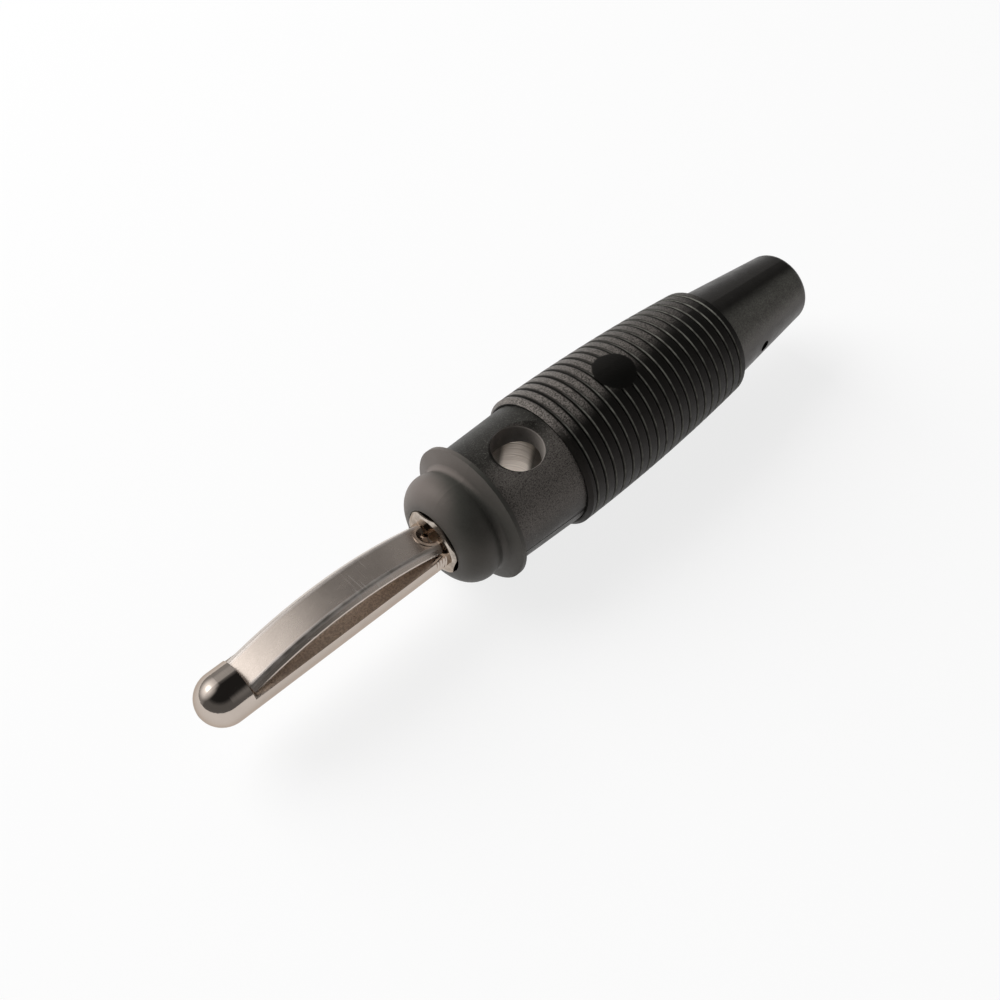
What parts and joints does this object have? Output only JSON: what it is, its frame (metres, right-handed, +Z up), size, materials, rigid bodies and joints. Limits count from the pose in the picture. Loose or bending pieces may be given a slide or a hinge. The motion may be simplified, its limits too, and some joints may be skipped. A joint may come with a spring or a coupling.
{
  "type": "banana plug",
  "caption": "Cable-end banana plug with a sprung round contact pin, insulated head with a cross socket, and a ribbed screw-on grip with a cable tail.",
  "frame": {"origin": "on the surface the plug lies on, below the middle of its length", "axes": "+X along the plug's axis from the pin's tip to the cable tail, +Z up, with the leaf spring on top"},
  "size_m": [0.0618, 0.0116, 0.0115],
  "materials": {
    "pin_nickel": "bright nickel plate",
    "leaf_nickel": "satin nickel plate",
    "nose_grey": "matte, smooth",
    "head_black": "satin, fine grain",
    "terminal_metal": "nickel plate, drilled bore",
    "screw_steel": "plain",
    "grip_black": "matte, fine grain",
    "tail_black": "semi-gloss"
  },
  "bodies": {
    "front": {"contact_pin": "pin_nickel", "leaf_spring": "leaf_nickel", "nose_ring": "nose_grey", "head_shell": "head_black", "terminal": "terminal_metal"},
    "screw": {"clamp_screw": "screw_steel"},
    "tail": {"tail_sleeve": "tail_black"},
    "grip": {"grip_sleeve": "grip_black"}
  },
  "joints": [
    {"name": "grip_travel", "type": "slide", "parent": "front", "child": "tail", "axis": [1, 0, 0], "range_m": [0, 0.00525]},
    {"name": "grip_turn", "type": "hinge", "parent": "tail", "child": "grip", "pos_m": [0.0108, 0, 0.00575], "axis": [1, 0, 0], "range_deg": [0, 2520]},
    {"name": "screw_travel", "type": "slide", "parent": "front", "child": "screw", "axis": [0, -0.1392, 0.9903], "range_m": [-0.0009, 0.0004]}
  ],
  "couplings": [
    {"joint": "grip_turn", "follows": "grip_travel", "rad_per_m": 8377.6}
  ]
}
